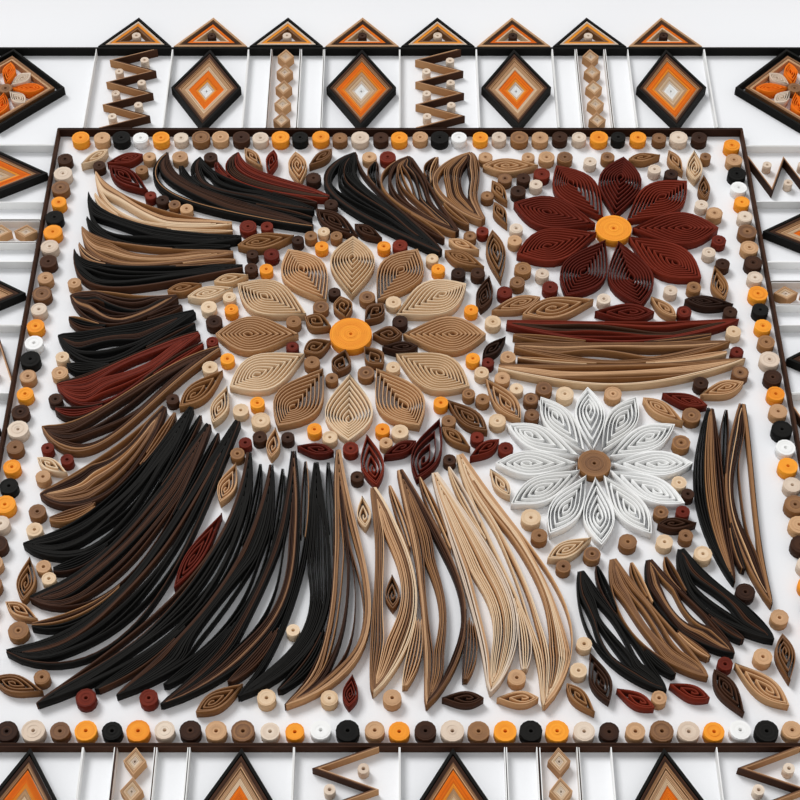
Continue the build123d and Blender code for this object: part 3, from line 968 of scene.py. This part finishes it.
def lay_disc(mesh, x, y, radius, points, paper_name, dice):
    """A tight coil in the field, known by points on its rim, halfway in and at its middle."""
    lay_coil(mesh, x, y, radius, points, paper_name, dice)
    spots = [Vector((x, y))]
    for share in (0.5, 1):
        for number in range(disc_rim_points):
            angle = 2 * pi * number / disc_rim_points
            spots.append(Vector((x + radius * share * cos(angle), y + radius * share * sin(angle))))
    field_lines.append(spots)


petal_dice = Random(31)
for node, flower, inner, outer, width, count, first, step, turns, colour in petal_rings:
    ring = start_strips()
    x, y, _ = flower_middle(flower)
    for petal in range(first, count, step):
        turn = 2 * pi * petal / count
        lay_drop(ring, x, y, turn, inner, outer - inner, width, turns, colour, petal_dice)
    stand_strips(ring, f"{node}_coils", [node], True)

for flower, colour in flower_centres:
    centre = start_strips()
    x, y, radius = flower_middle(flower)
    lay_disc(centre, x, y, radius, centre_points, colour, petal_dice)
    stand_strips(centre, f"{flower}_centre_coil", [f"{flower}_flower_centre"], True, coil_thickness)

for flower, out, count, colour in flower_beads:
    beads = start_strips()
    x, y, _ = flower_middle(flower)
    for bead in range(count):
        turn = 2 * pi * (bead + 0.5) / count
        bead_x = x + out * cos(turn)
        bead_y = y + out * sin(turn)
        lay_disc(beads, bead_x, bead_y, small_bead_radius, small_coil_points, colour, petal_dice)
    stand_strips(beads, f"{flower}_bead_coils", [f"{flower}_flower_beads"], True, coil_thickness)


# Single coils, pinched like the petals, fill the room left between the sheaves and the flowers.

accent_turns = 4

# Middle x and y, length and width of each, in shares of half the field, and its angle in degrees
accents = {
    "rust": (
        (-0.519, -0.519, 0.253, 0.044, -115),
        (-0.12, -0.93, 0.089, 0.038, -95),
        (-0.854, 0.943, 0.114, 0.044, 20),
        (0.785, -0.019, 0.127, 0.041, -20),
    ),
    "dark_brown": ((0.487, -0.892, 0.139, 0.051, -75), (0.892, 0.342, 0.139, 0.044, 172)),
    "tan": (
        (-0.316, 0.905, 0.139, 0.057, 98),
        (0.335, 0.335, 0.152, 0.051, 20),
        (0.88, -0.911, 0.165, 0.057, -45),
    ),
    "brown": ((0.285, 0.532, 0.203, 0.057, 95), (0.184, -0.076, 0.152, 0.057, -45)),
}
for colour, shapes in accents.items():
    coils = start_strips()
    for x, y, length, width, angle in shapes:
        x, y, length, width = (half_field * share for share in (x, y, length, width))
        lay_drop(coils, x, y, radians(angle), -length / 2, length, width, accent_turns, colour, petal_dice)
    stand_strips(coils, f"{colour}_accent_strips", [f"{colour}_accent_coils"], True)


# Small coils are glued down last, wherever the field has a bare patch. The larger patches take a
# pinched coil that follows its neighbours, the others a round one.

patch_step = 0.003
patch_edge = 0.15
edge_steps = 80
mark_shares = (0, 0.25, 0.5, 0.75, 1)
fit_stations = (-0.5, -0.35, -0.2, 0, 0.2, 0.35, 0.5)
fill_clearance = 0.0008
fill_lengths = (0.034, 0.027, 0.021, 0.016)
long_fill = 0.02
fill_turns = 3
fill_slimness = 0.36
fill_radii = (0.0027, 0.0042)
fill_sizes = (0.8, 1)
fill_colours = ("rust", "brown", "tan", "dark_brown", "beige", "brown")

# The edge of the field counts as covered too, so that the fills stay clear of the coil row
for quarter in range(4):
    alongs = [half_field * (2 * number / edge_steps - 1) for number in range(edge_steps + 1)]
    field_lines.append([Vector(side_spot(quarter, half_field, along)) for along in alongs])

marks = []
for line in field_lines:
    for first, second in zip(line, line[1:]):
        for share in mark_shares:
            marks.append((first.lerp(second, share), second - first))
covered = KDTree(len(marks))
for number, (mark, _) in enumerate(marks):
    covered.insert(mark.to_3d(), number)
covered.balance()


def free_room(place, taken):
    """How far a place is from all that stands in the field."""
    near = min(((place - other).length for other in taken), default=1)
    return min(covered.find(place.to_3d())[2], near)


def fits(place, way, length, taken):
    """Whether a pinched coil of this length has its room around a place."""
    for share in fit_stations:
        half = length * fill_slimness / 2 * cos(pi * share)
        if free_room(place + way * length * share, taken) < half + fill_clearance:
            return False
    return True


def longest_fill(place, way, room, taken):
    """The length of the longest pinched coil that fits at a place, or none."""
    for length in fill_lengths:
        if room > length * fill_slimness / 2 and fits(place, way, length, taken):
            return length
    return None


patches = []
steps = int(patch_edge / patch_step)
for column in range(-steps, steps + 1):
    for row in range(-steps, steps + 1):
        place = Vector((column * patch_step, row * patch_step))
        _, number, reach = covered.find(place.to_3d())
        patches.append((reach, place, marks[number][1].normalized()))
patches.sort(key=lambda patch: -patch[0])

fill_dice = Random(47)
pinched_fills = {colour: start_strips() for colour in sorted(set(fill_colours))}
round_fills = {colour: start_strips() for colour in sorted(set(fill_colours))}
taken = []
for _, place, way in patches:
    room = free_room(place, taken) - fill_clearance
    colour = fill_dice.choice(fill_colours)
    length = longest_fill(place, way, room, taken)
    if length:
        angle = way.angle_signed(Vector((1, 0)))
        turns = fill_turns + (length > long_fill)
        width = length * fill_slimness
        lay_drop(pinched_fills[colour], *place, angle, -length / 2, length, width, turns, colour, fill_dice)
        taken += field_lines.pop()
    elif room > fill_radii[0]:
        radius = min(room, fill_radii[1] * fill_dice.uniform(*fill_sizes))
        lay_disc(round_fills[colour], *place, radius, small_coil_points, colour, fill_dice)
        taken += field_lines.pop()
for kind, fills, thickness in (
    ("pinched", pinched_fills, strip_thickness),
    ("round", round_fills, coil_thickness),
):
    for colour, fill in fills.items():
        if fill.verts:
            stand_strips(fill, f"{kind}_{colour}_fill", [], True, thickness)


# The stage: a plain pale floor, soft light from the upper left and the back, and the camera. What
# the camera and the gloss see of the studio is a little brighter than what lights the art.

floor_half = 4.0
floor_grey = (0.82, 0.82, 0.82, 1)
floor_roughness = 0.9
floor_mesh = bmesh.new()
bmesh.ops.create_grid(floor_mesh, x_segments=1, y_segments=1, size=floor_half)
floor_data = bpy.data.meshes.new("floor")
floor_mesh.to_mesh(floor_data)
floor_mesh.free()
floor_data.transform(Matrix.Translation((0, 0, cad_box[0][2])))
floor = bpy.data.objects.new("floor", floor_data)
scene.collection.objects.link(floor)
floor_paint, floor_tree, floor_shader = start_material("pale floor")
coat(floor_tree, floor_shader, floor_grey, floor_roughness)
floor_data.materials.append(floor_paint)

studio_white = (1, 1, 1, 1)
sky_strength = 0.59
backdrop_strength = 0.92
sun_strength = 1.95
sun_size = radians(24)
sun_way = Vector((0.42, -0.52, -0.8))

world = bpy.data.worlds.new("studio")
scene.world = world
world.use_nodes = True
sky = world.node_tree
sky.nodes.clear()
choice = sky.nodes.new("ShaderNodeMixShader")
for number, strength in enumerate((sky_strength, backdrop_strength), start=1):
    background = sky.nodes.new("ShaderNodeBackground")
    set_inputs(background, {"Color": studio_white, "Strength": strength})
    sky.links.new(background.outputs[0], choice.inputs[number])
ray = sky.nodes.new("ShaderNodeLightPath")
seen = add_math(sky, "MAXIMUM", ray.outputs["Is Camera Ray"], ray.outputs["Is Glossy Ray"])
seen = add_math(sky, "MAXIMUM", seen, ray.outputs["Is Transmission Ray"])
sky_out = sky.nodes.new("ShaderNodeOutputWorld")
sky.links.new(seen, choice.inputs[0])
sky.links.new(choice.outputs[0], sky_out.inputs["Surface"])

sun = bpy.data.objects.new("window light", bpy.data.lights.new("window light", "SUN"))
sun.data.energy = sun_strength
sun.data.angle = sun_size
sun.rotation_euler = sun_way.to_track_quat("-Z", "Y").to_euler()
scene.collection.objects.link(sun)

camera_lens = 78
camera_distance = 0.76
camera_angle = radians(51)
camera = bpy.data.objects.new("camera", bpy.data.cameras.new("camera"))
camera.data.lens = camera_lens
camera.location = (
    0,
    -camera_distance * cos(camera_angle),
    board_top + camera_distance * sin(camera_angle),
)
camera.rotation_euler = (pi / 2 - camera_angle, 0, 0)
scene.collection.objects.link(camera)
bpy.context.scene.camera = camera
scene.view_settings.view_transform = "Standard"
